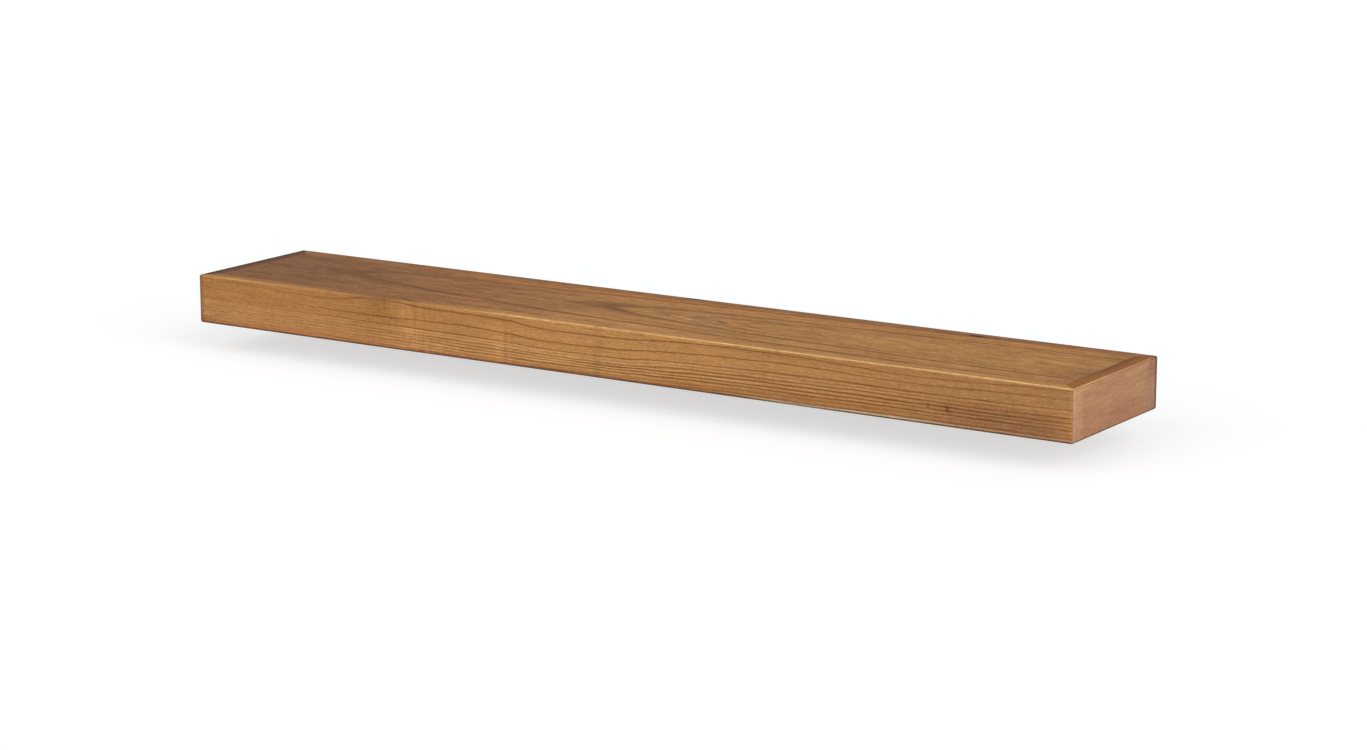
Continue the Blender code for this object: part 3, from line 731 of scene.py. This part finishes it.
def end_face(graph, at, band, soft):
    """The right end's own colours: wavy bands, warm and light parts, and darker ones below and behind."""
    colour = graph.mix(graph.step(band * 0.6 + soft, -1.5, 1.5), END.pale, END.dark)
    warm = graph.noise(at.front / 60, at.below / 14, at.right / 30, seed=123.0)
    colour = graph.mix(graph.step(warm, 0.0, 1.2) * 0.6, colour, END.warm)
    slant = graph.noise(at.front / 60, (at.below - at.front * 0.13) / 1.8, at.right / 20, seed=126.0)
    light = graph.step(slant, 0.1, 0.8) * graph.step(at.below - at.front * 0.1, 16, 4)
    light = light * graph.step(at.front, 190, 120) * 0.55
    light = light + graph.hump(at.front, 30, 22) * graph.step(at.below, 12, 3) * 0.4
    colour = graph.mix(light, colour, END.light)
    colour = graph.mix(graph.spot(at.front, 150, 60, at.below, 57, 10) * 0.55, colour, END.pink)
    colour = graph.mix(graph.step(at.below, 44, 74) * 0.45, colour, END.low)
    low_back = graph.step(at.front, 222, 250) * graph.step(at.below, 58, 73)
    colour = graph.mix(low_back * 0.4, colour, END.low_back)
    top_back = graph.step(at.front + soft * 2, 226, 233) * graph.step(at.below + soft * 14, 46, 10)
    colour = graph.mix(top_back * 0.75, colour, END.top_back)
    return graph.mix(graph.step(at.front, 195, 245) * 0.4, colour, END.back)


def end_front_stripe(graph, at, colour, soft):
    """The paler stripe along the right end's front edge, with fine upright streaks and two rosy lines."""
    upright = graph.noise(at.front / 1.6, at.below / 30, at.right / 8, seed=124.0)
    stripe = graph.step(at.front + soft * 2, 34.0, 16.0) * graph.step(at.below, 66, 8, 0.25, 0.5)
    colour = graph.mix(stripe + stripe * upright, colour, END.stripe)
    rose = graph.hump(at.front, 17.5, 2.5) + graph.hump(at.front, 9.0, 1.5)
    return graph.mix(rose * (0.2 + upright * 0.3), colour, END.rose)


def end_top_strip(graph, at, colour):
    """The dark brown strip on top, darker along its inner side and lighter along its outer one."""
    strip = graph.mix(graph.step(at.front, 30, 200), END.strip_front, END.strip_back)
    inner = graph.step(at.right, 11, 23) * graph.step(at.front, 50, 170)
    strip = graph.mix(inner * 0.55, strip, END.strip_inner)
    strip = graph.mix(graph.step(at.right, 14, 4) * 0.5, strip, END.strip_outer)
    return graph.mix(on_top(graph, at), colour, strip)


def end_edges(graph, at, colour, soft):
    """Painted shade on the back edge and the arrises, and painted highlights on the top arris and the front
    corner.
    """
    # Painted shade on the back edge, where its rounding turns from the light
    colour = graph.mix(graph.step(at.back + soft, 13.0, 7.0) * 0.8, colour, END.back_edge_shade)
    # Painted shade on the arrises
    colour = shaded_arrises(graph, at, colour)
    # A painted highlight on the top arris, fading towards the back
    arris = graph.step(at.below, 1.5, 0.9) * graph.step(at.right, 3.4, 2.0)
    pale = graph.mix(graph.step(at.front, 60, 235), END.arris_highlight_front, END.arris_highlight_back)
    colour = graph.mix(arris * graph.step(at.front, 245, 232), colour, pale)
    # A painted highlight on the front corner, stronger towards the top
    corner = graph.step(at.front + at.right, 4.4, 3.0) * graph.step(at.below, 40, 4, 0.15, 0.6)
    return graph.mix(corner, colour, END.corner)


def right_end_wood():
    """Pinkish brown with soft wavy bands, a paler stripe at the front and a dark brown strip on top."""
    graph = Graph("right_end_wood")
    at = Place(graph)
    wave = graph.noise(at.front / 70, at.below / 40, at.right / 40, seed=121.0) * 5
    height = at.below - at.front * BAND_FALL + wave
    band = graph.math("SINE", height * (math.tau / BAND_PITCH) - BAND_SHIFT)
    soft = graph.noise(at.front / 55, at.below / 7, at.right / 20, seed=122.0, detail=3.0, roughness=0.55)
    colour = end_face(graph, at, band, soft)
    colour = end_front_stripe(graph, at, colour, soft)
    colour = end_top_strip(graph, at, colour)
    colour = end_edges(graph, at, colour, soft)
    grain = at.front, at.right, at.z
    fibre = fibres(graph, grain, seed=125.0) * 0.8
    lines = graph.step(band, 0.2, 1.0) * 0.5
    return wood_surface(graph, colour, lines, fibre, pores(graph, grain, seed=128.0), gloss=0.04)


# Metals: how strongly their fine relief shows, and the sizes of its features in millimetres
METAL_BUMP = 0.5
PEEL_SIZE = 0.8
RUBBED_SIZE = 18
FILM_SIZE = 2.5
MARK_LENGTH, MARK_WIDTH = 3, 0.12


def powder_coat():
    """Black powder coat: a fine orange peel, with rubbed grey spots."""
    graph = Graph("black_powder_coat")
    place = graph.place()
    peel = graph.noise(*(axis / PEEL_SIZE for axis in place), seed=1.0)
    rubbed = graph.noise(*(axis / RUBBED_SIZE for axis in place), seed=2.0, detail=4.0, roughness=0.6)
    rubbed = graph.step(rubbed, 0.5, 1.6)
    colour = graph.mix(rubbed * 0.5, rgb(34, 34, 35), rgb(62, 61, 60))
    roughness = 0.5 + peel * 0.05 - rubbed * 0.1
    return graph.surface(colour, roughness, peel * 0.03, bump=METAL_BUMP, Specular_IOR_Level=0.5)


def bare_metal(name, pale, dark, rough, seed):
    """Plated or turned metal: fine turning marks round Z and a dull film in places."""
    graph = Graph(name)
    x, y, z = graph.place()
    film = graph.noise(x / FILM_SIZE, y / FILM_SIZE, z / FILM_SIZE, seed, detail=3.0, roughness=0.6)
    marks = graph.noise(x / MARK_LENGTH, y / MARK_LENGTH, z / MARK_WIDTH, seed + 1, detail=1.0)
    colour = graph.mix(graph.step(film, -0.8, 1.2), pale, dark)
    roughness = rough + film * 0.06 + marks * 0.03
    return graph.surface(colour, roughness, marks * 0.01, bump=METAL_BUMP, Metallic=1.0)


def zinc_plate():
    """The lock screws' bright plated steel."""
    return bare_metal("zinc_plate", rgb(188, 190, 192), rgb(150, 152, 156), rough=0.32, seed=80.0)


def turned_brass():
    """The threaded inserts' turned brass."""
    return bare_metal("turned_brass", rgb(206, 168, 96), rgb(170, 130, 66), rough=0.3, seed=90.0)


def make_finishes():
    """Each CAD node's finish, by the start of its name."""
    core = core_wood()
    hard = hard_wood()
    steel = powder_coat()
    return {
        "front_board": front_wood(),
        "back_board": back_wood(),
        "left_end_board": left_end_wood(),
        "right_end_board": right_end_wood(),
        "top_panel": panel_wood(),
        "bottom_panel": bottom_wood(),
        "inner_rail": hard,
        "mitre_key": hard,
        "lock_block": hard,
        "rear_rib": core,
        "front_rib": core,
        "corner_block": core,
        "wall_plate": steel,
        "support_rod": steel,
        "lock_screw": zinc_plate(),
        "threaded_insert": turned_brass(),
    }


def dress_nodes():
    """Gives each CAD node the finish whose name its own name starts with."""
    finishes = make_finishes()
    for name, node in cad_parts.items():
        prefix = next(start for start in finishes if name.startswith(start))
        for material_slot in node.material_slots:
            material_slot.material = finishes[prefix]


# The floor: how far below the shelf it lies and how large it is, in metres
FLOOR_DROP = 0.044
FLOOR_SIZE = 400.0
# Its colour for the light that it gives back, and its colour and glow as the camera and mirrors see it,
# which together are just white where no shadow falls
FLOOR_GREY = 0.82
FLOOR_GREY_SEEN = 0.58
FLOOR_GLOW_SEEN = 0.622
FLOOR_GLOW_TINT = (0.985, 1.0, 1.01, 1.0)


def seen_directly(graph):
    """1 for rays from the camera, a mirror or glass, and 0 for the rays that light the object."""
    path = graph.node("LightPath")
    seen = path.outputs["Is Camera Ray"]
    for name in ("Is Glossy Ray", "Is Transmission Ray"):
        seen = graph.most(seen, path.outputs[name])
    return seen


def floor_material():
    """Matt grey for the light that it gives back, with a glow that only the camera and mirrors see."""
    graph = Graph("studio_floor")
    seen = seen_directly(graph)
    grey = graph.step(seen, 0.0, 1.0, FLOOR_GREY, FLOOR_GREY_SEEN)
    matt = graph.node("BsdfDiffuse", {"Color": graph.vector(grey, grey, grey)})
    glow = graph.node("Emission", {"Color": FLOOR_GLOW_TINT, "Strength": seen * FLOOR_GLOW_SEEN})
    both = graph.node("AddShader", {0: matt.outputs[0], 1: glow.outputs[0]})
    end = graph.node("OutputMaterial")
    graph.tree.links.new(both.outputs[0], end.inputs["Surface"])
    return graph.material


def make_floor():
    bpy.ops.mesh.primitive_plane_add(size=FLOOR_SIZE, location=(0, 0, CAD_BOX[0].z - FLOOR_DROP))
    floor = bpy.context.object
    floor.name = "studio_floor"
    floor.data.materials.append(floor_material())


# Light: the even glow of the room, and two broad lamps, each with its direction from the shelf, its
# strength and its spread in degrees
ROOM_GLOW = 0.40
LAMPS = (("key", (-0.240, -0.896, 0.375), 1.10, 65.0), ("fill", (0.857, -0.354, 0.375), 1.75, 65.0))


def make_room():
    """An even glow, white as the camera sees it and dimmer where it lights the shelf."""
    graph = Graph("studio_room", bpy.data.worlds)
    strength = graph.step(seen_directly(graph), 0.0, 1.0, ROOM_GLOW, 1.0)
    background = graph.node("Background", {"Strength": strength})
    end = graph.node("OutputWorld")
    graph.tree.links.new(background.outputs[0], end.inputs["Surface"])
    bpy.context.scene.world = graph.material


def make_lamps():
    for name, towards, strength, spread in LAMPS:
        lamp = bpy.data.lights.new(name + "_light", "SUN")
        lamp.energy = strength
        lamp.angle = math.radians(spread)
        placed = bpy.data.objects.new(name + "_light", lamp)
        placed.rotation_euler = Vector(towards).to_track_quat("Z", "Y").to_euler()
        bpy.context.scene.collection.objects.link(placed)


# The camera, solved from the outline of the box in the photograph: its lens, its turn and tilt, and its
# distance from the shelf's middle. The offsets say how far right of and above the view's axis that
# middle lies, in metres.
LENS_MM = 91.5798
SENSOR_MM = 36.0
YAW, PITCH = math.radians(32.9704), math.radians(12.2864)
DISTANCE = 5.14778
RIGHT_OFFSET, UP_OFFSET = -0.04868, 0.05491


def make_camera():
    centre = (CAD_BOX[0] + CAD_BOX[1]) / 2
    forward = Vector((-math.sin(YAW) * math.cos(PITCH), math.cos(YAW) * math.cos(PITCH), -math.sin(PITCH)))
    right = Vector((math.cos(YAW), math.sin(YAW), 0.0))
    up = right.cross(forward)
    place = centre - forward * DISTANCE - right * RIGHT_OFFSET - up * UP_OFFSET
    camera = bpy.data.cameras.new("photo_camera")
    camera.lens = LENS_MM
    camera.sensor_width = SENSOR_MM
    camera.clip_end = FLOOR_SIZE
    camera_object = bpy.data.objects.new("photo_camera", camera)
    turned = Matrix((right, up, -forward)).transposed().to_4x4()
    camera_object.matrix_world = Matrix.Translation(place) @ turned
    bpy.context.scene.collection.objects.link(camera_object)
    bpy.context.scene.camera = camera_object


bpy.context.scene.view_settings.view_transform = "Standard"
make_camera()
make_floor()
make_room()
make_lamps()
dress_nodes()
